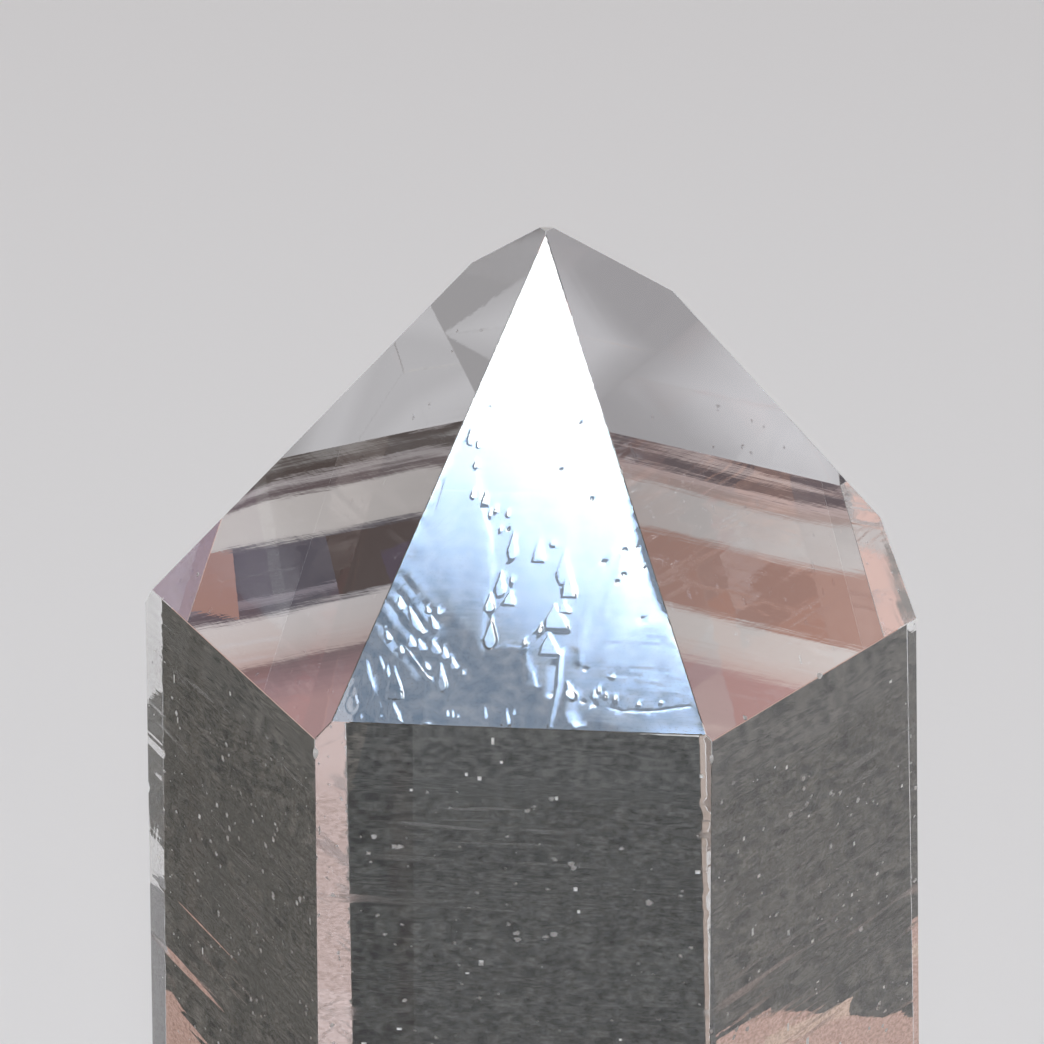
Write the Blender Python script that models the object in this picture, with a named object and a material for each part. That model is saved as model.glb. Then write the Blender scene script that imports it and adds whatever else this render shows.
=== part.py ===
"""A clear quartz crystal: one natural six-sided prism with a six-faced point, cut flat across its foot.

The crystal stands upright on the cut. Its front is towards -Y, and bearings run from the front round
to +X, the crystal's right. All its faces keep quartz's own angles; only their distances from the axis
differ, which makes the point lopsided, as natural points are.
"""

import math
import random

import bmesh
import bpy
from mathutils import Matrix, Vector

MM = 0.001

# Driving dimensions
PRISM_LENGTH = 60.0 * MM        # from the cut foot to the shoulder, the level where the point begins
POINT_SLOPE = math.radians(51.79)  # every face of the point, measured from level
STOCK = 60.0 * MM               # half width of the block that the faces are cut from
TIP_LOSS = 0.20 * MM            # what is broken off the very tip

# The prism: bearing, distance from the axis at the shoulder, and lean towards the tip in degrees
PRISM_FACES = {
    "front": (0, 14.55 * MM, 1.8),
    "front_right": (60, 14.50 * MM, 1.6),
    "back_right": (120, 13.40 * MM, 2.0),
    "back": (180, 14.95 * MM, 0.6),
    "back_left": (240, 14.50 * MM, -0.35),
    "front_left": (300, 13.45 * MM, 0.8),
}

# The point: bearing, and how far above the shoulder the face would reach the axis
POINT_FACES = {
    "front": (0, 19.70 * MM),
    "front_right": (60, 19.40 * MM),
    "back_right": (120, 21.20 * MM),
    "back": (180, 15.80 * MM),
    "back_left": (240, 18.10 * MM),
    "front_left": (300, 17.60 * MM),
}

# Growth ledges: shallow bands across each prism face, where growth stopped and went on
LEDGES_PER_FACE = 7
LEDGE_DEPTH = (0.03 * MM, 0.10 * MM)
LEDGE_BAND = (0.5 * MM, 3.2 * MM)
LEDGE_RISER = 0.08 * MM         # height over which a ledge steps in or out
PLAIN_TOP = 1.0 * MM            # the prism just under the shoulder has no full ledge

# Growth hillocks: low drops on the point's small faces, each with its tip towards the crystal's tip
HILLOCK_HEIGHT = 0.07           # of the drop's width
HILLOCK_ROOT = 0.25 * MM        # how deep a hillock's solid reaches into the crystal
HILLOCK_SIDES = 10

# Hillocks on the front face: across from its middle, up from its lower edge, width, length, in mm
FRONT_HILLOCKS = (
    (-0.5, 3.8, 0.60, 1.25), (-0.6, 5.1, 0.45, 0.85), (-0.25, 6.0, 0.45, 1.05), (0.1, 7.5, 0.45, 1.3),
    (0.2, 5.0, 0.45, 0.65), (1.2, 7.35, 0.45, 1.0), (2.5, 6.1, 0.55, 1.3), (2.1, 4.7, 0.95, 1.3),
    (1.85, 3.4, 0.80, 1.1), (1.3, 4.2, 0.35, 0.35), (0.8, 3.3, 0.25, 0.45), (2.75, 1.6, 0.50, 1.0),
    (3.8, 1.75, 0.25, 0.35), (4.5, 1.4, 0.25, 0.35), (5.4, 1.2, 0.25, 0.25), (2.1, 0.6, 0.35, 0.9),
    (-4.0, 5.1, 0.60, 0.9), (-3.3, 4.2, 0.60, 0.9), (-4.5, 3.7, 0.65, 1.0), (-3.5, 3.1, 0.45, 0.6),
    (-2.6, 3.5, 0.55, 0.6), (-2.2, 2.6, 0.50, 0.8), (-1.5, 2.3, 0.50, 0.5), (-2.9, 2.4, 0.45, 0.7),
    (-2.5, 1.6, 0.45, 0.9), (-4.8, 2.5, 0.50, 0.8), (-4.0, 1.6, 0.60, 1.3), (-5.4, 1.9, 0.45, 0.8),
    (-4.1, 0.7, 0.55, 0.6), (-2.0, 0.6, 0.40, 0.7), (-5.8, 0.6, 0.60, 0.7), (-1.0, 10.2, 0.30, 1.1),
    (-0.75, 9.2, 0.35, 0.7), (-1.5, 11.6, 0.30, 0.9),
)
SEEDED_HILLOCKS = {"back_left": 12, "back_right": 14}

# Damage: bites out of the edges, and small pits in the prism's faces
CHIP_SIZE = (0.35 * MM, 0.8 * MM)
CHIP_BITE = 0.35                # of the chip's size, taken from the edge
EDGE_CHIPS = 14
FOOT_CHIPS = 12
PITS = 30
PIT_SIZE = (0.18 * MM, 0.42 * MM)

CRYSTAL_IOR = 1.544


def prism_plane(name, level):
    """A prism face's outward normal, and its distance from the axis at a level."""
    bearing, distance, lean = PRISM_FACES[name]
    turn, tilt = math.radians(bearing), math.radians(lean)
    normal = Vector((math.sin(turn) * math.cos(tilt), -math.cos(turn) * math.cos(tilt), math.sin(tilt)))
    return normal, distance + (PRISM_LENGTH - level) * math.tan(tilt)


def point_plane(name):
    """A point face's outward normal, and the place where it would reach the axis."""
    bearing, rise = POINT_FACES[name]
    turn = math.radians(bearing)
    across = math.sin(POINT_SLOPE)
    normal = Vector((math.sin(turn) * across, -math.cos(turn) * across, math.cos(POINT_SLOPE)))
    return normal, Vector((0, 0, PRISM_LENGTH + rise))


def cut(bm, place, normal):
    """Cuts away what lies outside a plane, and closes the cut with one flat face."""
    everything = bm.verts[:] + bm.edges[:] + bm.faces[:]
    result = bmesh.ops.bisect_plane(
        bm, geom=everything, dist=1e-7, plane_co=place, plane_no=normal, clear_outer=True)
    rim = [item for item in result["geom_cut"] if isinstance(item, bmesh.types.BMEdge)]
    bmesh.ops.contextual_create(bm, geom=rim)


def ledge_bands(rng):
    """For each prism face, the bands that stand back: lower level, upper level, depth."""
    bands = {}
    for name in PRISM_FACES:
        bands[name] = []
        for step in range(LEDGES_PER_FACE):
            share = (step + rng.uniform(0.15, 0.85)) / LEDGES_PER_FACE
            middle = 2 * MM + share * (PRISM_LENGTH - PLAIN_TOP - 4 * MM)
            half = rng.uniform(*LEDGE_BAND) / 2
            bands[name].append((middle - half, middle + half, rng.uniform(*LEDGE_DEPTH)))
    return bands


def ledge_setback(bands, level):
    """How far a prism face stands back at a level."""
    setback = 0.0
    for low, high, depth in bands:
        rise = min((level - low) / LEDGE_RISER + 1, (high - level) / LEDGE_RISER + 1)
        setback = max(setback, depth * min(1.0, max(0.0, rise)))
    return setback


def step_prism(bm, bands):
    """Cuts the prism into level rings and moves each ring's corners in or out to make the ledges."""
    levels = set()
    for face_bands in bands.values():
        for low, high, _ in face_bands:
            levels.update((low - LEDGE_RISER, low, high, high + LEDGE_RISER))
    for level in sorted(levels):
        everything = bm.verts[:] + bm.edges[:] + bm.faces[:]
        bmesh.ops.bisect_plane(bm, geom=everything, dist=1e-7, plane_co=(0, 0, level), plane_no=(0, 0, 1))
    names = list(PRISM_FACES)
    for vert in bm.verts:
        if vert.co.z > max(levels) + LEDGE_RISER:
            continue
        level = vert.co.z
        corners = []
        for left, right in zip(names, names[1:] + names[:1]):
            corners.append(prism_corner(left, right, level, bands))
        vert.co.xy = min(corners, key=lambda corner: (corner - vert.co.xy).length)


def prism_corner(left, right, level, bands):
    """Where two neighbouring prism faces meet at a level, seen from above."""
    rows, reach = [], []
    for name in (left, right):
        turn = math.radians(PRISM_FACES[name][0])
        rows.append((math.sin(turn), -math.cos(turn)))
        reach.append(prism_plane(name, level)[1] - ledge_setback(bands[name], level))
    return Matrix(rows).inverted() @ Vector(reach)


def face_place(name):
    """A frame on a point face: x across, y up the slope, z out, from the middle of its lower edge."""
    normal, top = point_plane(name)
    across = Vector((-normal.y, normal.x, 0)).normalized()
    uphill = normal.cross(across)
    turn = math.radians(POINT_FACES[name][0])
    outward = Vector((math.sin(turn), -math.cos(turn), 0))
    reach = PRISM_FACES[name][1]
    foot = Vector((0, 0, top.z - reach * math.tan(POINT_SLOPE))) + outward * reach
    place = Matrix((across, uphill, normal)).transposed().to_4x4()
    place.translation = foot
    return place


def add_hillock(bm, place, across, up, width, length):
    """One low drop: a flat-topped cone drawn out to a tip up the slope."""
    height = width * HILLOCK_HEIGHT
    added = bmesh.ops.create_cone(
        bm, cap_ends=True, segments=HILLOCK_SIDES, radius1=0.5, radius2=0.36, depth=1)["verts"]
    for vert in added:
        x, y, z = vert.co
        drawn = max(0.0, y / 0.5)
        tip = y + (length / width - 1) * drawn ** 2.0
        pinch = 1 - 0.55 * drawn ** 1.5
        level = height if z > 0 else -HILLOCK_ROOT
        vert.co = place @ Vector((across + x * width * pinch, up + (tip - 0.25) * width, level))


def face_spots(solid, name, count, rng):
    """Places scattered over one face of the point, clear of its edges, in the face's own frame."""
    normal = point_plane(name)[0]
    face = max(solid.faces, key=lambda item: item.normal.dot(normal))
    middle = face.calc_center_median()
    to_face = face_place(name).inverted()
    spots = []
    for _ in range(count):
        edge = rng.choice(face.edges)
        rim = edge.verts[0].co.lerp(edge.verts[1].co, rng.random())
        spots.append(to_face @ middle.lerp(rim, rng.uniform(0.1, 0.82)))
    return spots


def crystal_hillocks(rng, solid):
    """All the growth hillocks as one set of solids, to be joined to the crystal."""
    bm = bmesh.new()
    front = face_place("front")
    for across, up, width, length in FRONT_HILLOCKS:
        add_hillock(bm, front, across * MM, up * MM - length * MM / 4, width * MM, length * MM)
    for name, count in SEEDED_HILLOCKS.items():
        for spot in face_spots(solid, name, count, rng):
            width = rng.uniform(0.3, 0.65) * MM
            add_hillock(bm, face_place(name), spot.x, spot.y, width, width * rng.uniform(1.4, 2.2))
    return bm


def crystal_damage(rng, solid):
    """Bites out of the crystal's edges and foot, and pits in its prism faces, as one set of cutters."""
    bm = bmesh.new()
    sharp, foot = [], []
    for edge in solid.edges:
        middle = (edge.verts[0].co + edge.verts[1].co) / 2
        if edge.calc_length() < 1.0 * MM or edge.calc_face_angle(0) < math.radians(20):
            continue
        (foot if middle.z < 0.1 * MM else sharp).append(edge)
    spots = [(rng.choice(sharp), rng.uniform(0.08, 0.92)) for _ in range(EDGE_CHIPS)]
    spots += [(rng.choice(foot), rng.uniform(0.15, 0.85)) for _ in range(FOOT_CHIPS)]
    for edge, share in spots:
        place = edge.verts[0].co.lerp(edge.verts[1].co, share)
        out = sum((face.normal for face in edge.link_faces), Vector()).normalized()
        size = rng.uniform(*CHIP_SIZE)
        turn = Matrix.Rotation(rng.uniform(0, 6.28), 4, out)
        add_cutter(bm, place + out * size * (1 - CHIP_BITE), turn, size)
    for _ in range(PITS):
        name = rng.choice(list(PRISM_FACES))
        level = rng.uniform(6 * MM, PRISM_LENGTH - 3 * MM)
        normal, reach = prism_plane(name, level)
        bearing = math.radians(PRISM_FACES[name][0])
        outward = Vector((math.sin(bearing), -math.cos(bearing), 0))
        across = Vector((math.cos(bearing), math.sin(bearing), 0)) * rng.uniform(-6, 6) * MM
        size = rng.uniform(*PIT_SIZE)
        place = outward * (reach + size * 0.55) + across + Vector((0, 0, level))
        add_cutter(bm, place, Matrix.Rotation(rng.uniform(0, 6.28), 4, normal), size)
    return bm


def add_cutter(bm, place, turn, size):
    """A rough ball that leaves a small hollow where it meets the crystal."""
    at = Matrix.Translation(place) @ turn @ Matrix.Diagonal((size, size, size, 1))
    bmesh.ops.create_icosphere(bm, subdivisions=1, radius=1, matrix=at)


def crystal_blank():
    """The crystal's flat faces: a block cut by the six prism faces, the six point faces and the foot."""
    bm = bmesh.new()
    bmesh.ops.create_cube(bm, size=2 * STOCK, matrix=Matrix.Translation((0, 0, STOCK)))
    for name, (bearing, distance, _) in PRISM_FACES.items():
        turn = math.radians(bearing)
        place = Vector((math.sin(turn) * distance, -math.cos(turn) * distance, PRISM_LENGTH))
        cut(bm, place, prism_plane(name, PRISM_LENGTH)[0])
    for name in POINT_FACES:
        normal, place = point_plane(name)
        cut(bm, place, normal)
    tip = max(vert.co.z for vert in bm.verts)
    cut(bm, Vector((0, 0, tip - TIP_LOSS)), Vector((0, 0, 1)))
    bmesh.ops.recalc_face_normals(bm, faces=bm.faces)
    return bm


def middle_of(bm):
    """The middle of a mesh seen from above."""
    xs = [vert.co.x for vert in bm.verts]
    ys = [vert.co.y for vert in bm.verts]
    return Vector(((min(xs) + max(xs)) / 2, (min(ys) + max(ys)) / 2, 0))


def new_object(name, bm):
    """Writes a bmesh into a new object in the scene, its faces pointing out."""
    bmesh.ops.recalc_face_normals(bm, faces=bm.faces)
    mesh = bpy.data.meshes.new(name)
    bm.to_mesh(mesh)
    bm.free()
    obj = bpy.data.objects.new(name, mesh)
    bpy.context.collection.objects.link(obj)
    return obj


def add_boolean(obj, tool, operation):
    """Joins or cuts an object with a tool, and hides the tool."""
    modifier = obj.modifiers.new(tool.name, "BOOLEAN")
    modifier.object = tool
    modifier.operation = operation
    modifier.solver = "EXACT"
    modifier.use_self = True
    tool.hide_render = True
    tool.display_type = "WIRE"


def quartz_material():
    """Water-clear quartz."""
    material = bpy.data.materials.new("clear_quartz")
    material.use_nodes = True
    shader = material.node_tree.nodes["Principled BSDF"]
    shader.inputs["Base Color"].default_value = (0.97, 0.98, 0.98, 1)
    shader.inputs["Roughness"].default_value = 0.03
    shader.inputs["Metallic"].default_value = 0.0
    shader.inputs["Transmission Weight"].default_value = 1.0
    shader.inputs["IOR"].default_value = CRYSTAL_IOR
    return material


def quartz_crystal():
    """The finished crystal, standing on its cut foot with the middle of the foot at the origin."""
    rng = random.Random(11)
    blank = crystal_blank()
    step_prism(blank, ledge_bands(rng))
    blank.normal_update()
    damage = crystal_damage(rng, blank)
    hillocks = crystal_hillocks(rng, blank)
    shift = -middle_of(blank)
    for bm in (blank, damage, hillocks):
        bmesh.ops.translate(bm, verts=bm.verts, vec=shift)
    crystal = new_object("quartz_crystal", blank)
    crystal.data.materials.append(quartz_material())
    add_boolean(crystal, new_object("growth_hillocks", hillocks), "UNION")
    add_boolean(crystal, new_object("chips_and_pits", damage), "DIFFERENCE")


for old in list(bpy.data.objects):
    bpy.data.objects.remove(old)
quartz_crystal()
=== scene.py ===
import math
import random

import bmesh
import bpy
import numpy as np
from mathutils import Matrix, Vector, noise


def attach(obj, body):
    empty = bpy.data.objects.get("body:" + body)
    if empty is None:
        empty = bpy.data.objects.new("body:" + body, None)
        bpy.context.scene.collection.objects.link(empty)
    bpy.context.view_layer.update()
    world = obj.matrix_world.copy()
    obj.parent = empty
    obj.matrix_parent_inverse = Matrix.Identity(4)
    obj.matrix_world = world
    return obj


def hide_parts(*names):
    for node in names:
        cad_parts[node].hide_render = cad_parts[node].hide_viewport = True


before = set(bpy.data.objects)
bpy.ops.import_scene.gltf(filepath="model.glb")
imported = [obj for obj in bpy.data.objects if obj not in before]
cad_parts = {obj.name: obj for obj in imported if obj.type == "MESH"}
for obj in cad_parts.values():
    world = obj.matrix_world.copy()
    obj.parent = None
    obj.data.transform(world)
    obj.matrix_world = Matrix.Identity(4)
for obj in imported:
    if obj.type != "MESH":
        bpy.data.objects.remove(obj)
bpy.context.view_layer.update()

# ==== The crystal ===============================================================================
# One natural quartz point, water-clear: a six-sided prism under a six-faced tip, grown as one
# piece at quartz's own angles. Only the faces' distances from the axis differ, which is what makes
# it lopsided. Its foot is sawn off square and polished, and the crystal stands on that.
MM = 0.001
PRISM_LENGTH = 60.0 * MM
POINT_SLOPE = math.radians(51.79)
TIP_LOSS = 0.20 * MM
BLOCK = 60.0 * MM

# each prism face: bearing, distance from the axis at the shoulder, lean towards the tip in degrees
PRISM_FACES = {
    "front": (0, 14.55 * MM, 1.8),
    "front_right": (60, 14.50 * MM, 1.6),
    "back_right": (120, 13.40 * MM, 2.0),
    "back": (180, 14.95 * MM, 0.6),
    "back_left": (240, 14.50 * MM, -0.35),
    "front_left": (300, 13.45 * MM, 0.8),
}
# each face of the point: bearing, and how far above the shoulder it would reach the axis
POINT_FACES = {
    "front": (0, 19.70 * MM),
    "front_right": (60, 19.40 * MM),
    "back_right": (120, 21.20 * MM),
    "back": (180, 15.80 * MM),
    "back_left": (240, 18.10 * MM),
    "front_left": (300, 17.60 * MM),
}


def face_frame(bearing, out_of_level, middle):
    """x across a face, y up it and z out of it, from a point on it."""
    turn = math.radians(bearing)
    across = Vector((math.cos(turn), math.sin(turn), 0))
    level_out = Vector((math.sin(turn), -math.cos(turn), 0))
    out = level_out * math.cos(out_of_level) + Vector((0, 0, math.sin(out_of_level)))
    frame_of_face = Matrix((across, out.cross(across), out)).transposed().to_4x4()
    frame_of_face.translation = level_out * middle[0] + Vector((0, 0, middle[1]))
    return frame_of_face


faces_of_crystal = {}
for name, (bearing, distance, lean) in PRISM_FACES.items():
    faces_of_crystal["prism_" + name] = face_frame(
        bearing, math.radians(lean), (distance, PRISM_LENGTH))
for name, (bearing, rise) in POINT_FACES.items():
    distance = PRISM_FACES[name][1]
    foot_of_face = PRISM_LENGTH + rise - distance * math.tan(POINT_SLOPE)
    faces_of_crystal["point_" + name] = face_frame(
        bearing, math.radians(90) - POINT_SLOPE, (distance, foot_of_face))


def cut(solid, place, normal):
    """Cuts away what lies outside a plane, and closes the cut with one flat face."""
    everything = solid.verts[:] + solid.edges[:] + solid.faces[:]
    result = bmesh.ops.bisect_plane(
        solid, geom=everything, dist=1e-7, plane_co=place, plane_no=normal, clear_outer=True)
    rim = [item for item in result["geom_cut"] if isinstance(item, bmesh.types.BMEdge)]
    bmesh.ops.contextual_create(solid, geom=rim)


quartz = bmesh.new()
bmesh.ops.create_cube(quartz, size=2 * BLOCK, matrix=Matrix.Translation((0, 0, BLOCK)))
for place in faces_of_crystal.values():
    cut(quartz, place.translation, place.col[2].to_3d())
tip = max(quartz.verts, key=lambda vert: vert.co.z).co.copy()
cut(quartz, tip - Vector((0, 0, TIP_LOSS)), Vector((0, 0, 1)))
bmesh.ops.recalc_face_normals(quartz, faces=quartz.faces)

# it stands over the middle of its own outline
low = Vector([min(vert.co[axis] for vert in quartz.verts) for axis in range(3)])
high = Vector([max(vert.co[axis] for vert in quartz.verts) for axis in range(3)])
to_middle = Vector((-(low.x + high.x) / 2, -(low.y + high.y) / 2, 0))
bmesh.ops.translate(quartz, verts=quartz.verts, vec=to_middle)
for place in faces_of_crystal.values():
    place.translation += to_middle

# ---- wear and chips along its edges
EDGE_WEAR = 0.022 * MM
# the two faces that meet, how far down their edge, how long the chip is and how deep, in mm
EDGE_CHIPS = (
    ("point_front", "point_front_right", 0.478, 0.35, 0.09),
    ("point_front_right", "prism_front_right", 0.485, 0.35, 0.10),
    ("point_front_left", "point_back", 0.29, 0.5, 0.08),
    ("point_front_left", "point_back", 0.95, 0.6, 0.10),
    ("point_front_right", "point_back", 0.72, 0.5, 0.10),
    ("prism_back_left", "prism_front_left", 0.14, 0.8, 0.12),
    ("prism_front", "prism_front_left", 0.01, 0.45, 0.14),
    ("prism_front", "prism_front_right", 0.012, 0.3, 0.10),
    ("prism_front", "prism_front_right", 0.33, 0.3, 0.06),
    ("prism_front", "prism_front_left", 0.56, 0.7, 0.12),
    ("prism_front_right", "prism_back_right", 0.41, 0.6, 0.10),
    ("prism_back", "prism_back_right", 0.72, 0.8, 0.14),
    ("prism_back", "prism_back_left", 0.62, 0.7, 0.12),
    ("point_back", "point_back_right", 0.55, 0.45, 0.08),
    ("point_back_left", "prism_back_left", 0.4, 0.5, 0.09),
)
CHIPS_PER_FOOT_EDGE = 3
rng = random.Random(23)


def flat_side(name):
    """The flat side of the fresh solid that looks the same way as a growth face."""
    out = faces_of_crystal[name].col[2].to_3d()
    return max(quartz.faces, key=lambda face: face.normal.dot(out))


chips = []
for first, second, share, size, depth in EDGE_CHIPS:
    one, other = flat_side(first), flat_side(second)
    edge = (set(one.edges) & set(other.edges)).pop()
    top, bottom = sorted((vert.co for vert in edge.verts), key=lambda co: -co.z)
    spot = top.lerp(bottom, share)
    out = (one.normal + other.normal).normalized()
    chips.append((spot, out, size * MM, depth * MM))
foot = min(quartz.faces, key=lambda face: face.normal.z)
for edge in foot.edges:
    for _ in range(CHIPS_PER_FOOT_EDGE):
        spot = edge.verts[0].co.lerp(edge.verts[1].co, rng.uniform(0.08, 0.92))
        out = sum((face.normal for face in edge.link_faces), Vector()).normalized()
        size = rng.uniform(0.5, 1.4)
        chips.append((spot, out, size * MM, size * rng.uniform(0.12, 0.25) * MM))

bmesh.ops.bevel(
    quartz, geom=quartz.edges[:], offset=EDGE_WEAR, offset_type="OFFSET", segments=1, profile=0.5,
    affect="EDGES", material=-1, clamp_overlap=True)

bites = bmesh.new()
for spot, out, size, depth in chips:
    turn = Matrix.Rotation(rng.uniform(0, math.tau), 4, out)
    shape = Matrix.Diagonal((size, size * rng.uniform(0.7, 1), size * rng.uniform(0.7, 1), 1))
    middle = Matrix.Translation(spot + out * (size - depth))
    bite = bmesh.ops.create_icosphere(bites, subdivisions=2, radius=1, matrix=middle @ turn @ shape)
    for vert in bite["verts"]:
        vert.co += out * rng.uniform(-0.03, 0.03) * size


def made_object(name, solid):
    """Puts a finished solid into the scene as an object."""
    mesh = bpy.data.meshes.new(name)
    solid.to_mesh(mesh)
    solid.free()
    made = bpy.data.objects.new(name, mesh)
    bpy.context.collection.objects.link(made)
    return made


blank, cutter = made_object("blank", quartz), made_object("bites", bites)
chipping = blank.modifiers.new("chipping", "BOOLEAN")
chipping.object = cutter
chipping.operation = "DIFFERENCE"
chipping.solver = "EXACT"
chipping.use_self = True
quartz = bmesh.new()
quartz.from_object(blank, bpy.context.evaluated_depsgraph_get())
for spent in (blank, cutter):
    bpy.data.objects.remove(spent)

# ---- each growth face is numbered, so that its relief stays its own; the chips count as bruised,
# and the foot and the worn edges keep 0
SIDE = quartz.faces.layers.int.new("side")
side_number = {name: number for number, name in enumerate(faces_of_crystal, start=1)}
BRUISED = 20
SAME_WAY = 0.99995
SAME_LEVEL = 0.005 * MM
BRUISE_SIZE = 0.6 * MM
BRUISE_AREA = 0.2 * MM * MM
for face in quartz.faces:
    face[SIDE] = 0
    for name, place in faces_of_crystal.items():
        out = place.col[2].to_3d()
        off_level = abs((face.calc_center_median() - place.translation).dot(out))
        if face.normal.dot(out) > SAME_WAY and off_level < SAME_LEVEL:
            face[SIDE] = side_number[name]
    on_foot = face.normal.z < -0.9
    longest = max(edge.calc_length() for edge in face.edges)
    if face[SIDE] == 0 and not on_foot and longest < BRUISE_SIZE and face.calc_area() < BRUISE_AREA:
        face[SIDE] = BRUISED


def side_faces(name):
    """The cells that a growth face is divided into."""
    return [face for face in quartz.faces if face[SIDE] == side_number[name]]


def slice_faces(sliced, start, direction, stations):
    """Cuts faces along parallel lines, from the first station to the last."""
    ahead, done = list(sliced), []
    for station in stations:
        point = start + direction * station
        edges = {edge for face in ahead for edge in face.edges}
        verts = {vert for face in ahead for vert in face.verts}
        result = bmesh.ops.bisect_plane(
            quartz, geom=ahead + list(edges) + list(verts), dist=1e-8,
            plane_co=point, plane_no=direction)
        ahead = []
        for item in result["geom"]:
            if isinstance(item, bmesh.types.BMFace):
                beyond = (item.calc_center_median() - point).dot(direction) > 0
                (ahead if beyond else done).append(item)
    return done + ahead


def evenly(low_end, high_end, pitch):
    """Stations between two ends, about a pitch apart, without the ends themselves."""
    count = max(1, round((high_end - low_end) / pitch))
    return [low_end + (high_end - low_end) * step / count for step in range(1, count)]


HALF_FACE = 10 * MM
COLUMN = 1.8 * MM
# how close the cuts across each face of the point are, in mm: close where its relief is fine
POINT_PITCH = {"front": 0.2, "back_left": 0.3, "back_right": 0.3,
               "front_left": 1.2, "front_right": 1.2, "back": 1.2}
for name in PRISM_FACES:
    place = faces_of_crystal["prism_" + name]
    slice_faces(side_faces("prism_" + name), place.translation, place.col[0].to_3d(),
                evenly(-HALF_FACE, HALF_FACE, COLUMN))
for name, pitch in POINT_PITCH.items():
    place = faces_of_crystal["point_" + name]
    to_face = place.inverted()
    cells = side_faces("point_" + name)
    points = [to_face @ vert.co for face in cells for vert in face.verts]
    for axis in range(2):
        ends = [point[axis] for point in points]
        cells = slice_faces(cells, place.translation, place.col[axis].to_3d(),
                            evenly(min(ends), max(ends), pitch * MM))

# level growth lines right round the prism, some close together and some apart
HIGHEST_SHOULDER = PRISM_LENGTH + 4.3 * MM
FINE_LINES_FROM = PRISM_LENGTH - 24 * MM
growth_lines = []
level = 0.15 * MM
while level < HIGHEST_SHOULDER:
    growth_lines.append(level)
    crowding = 0.7 if noise.noise(Vector((level * 450, 7.0, 0))) > 0 else 1.4
    coarseness = 1.0 if level > FINE_LINES_FROM else 2.0
    level += rng.uniform(0.08, 0.26) * MM * crowding * coarseness
upright = [face for face in quartz.faces if abs(face.normal.z) < 0.2]
slice_faces(upright, Vector(), Vector((0, 0, 1)), growth_lines)

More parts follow.
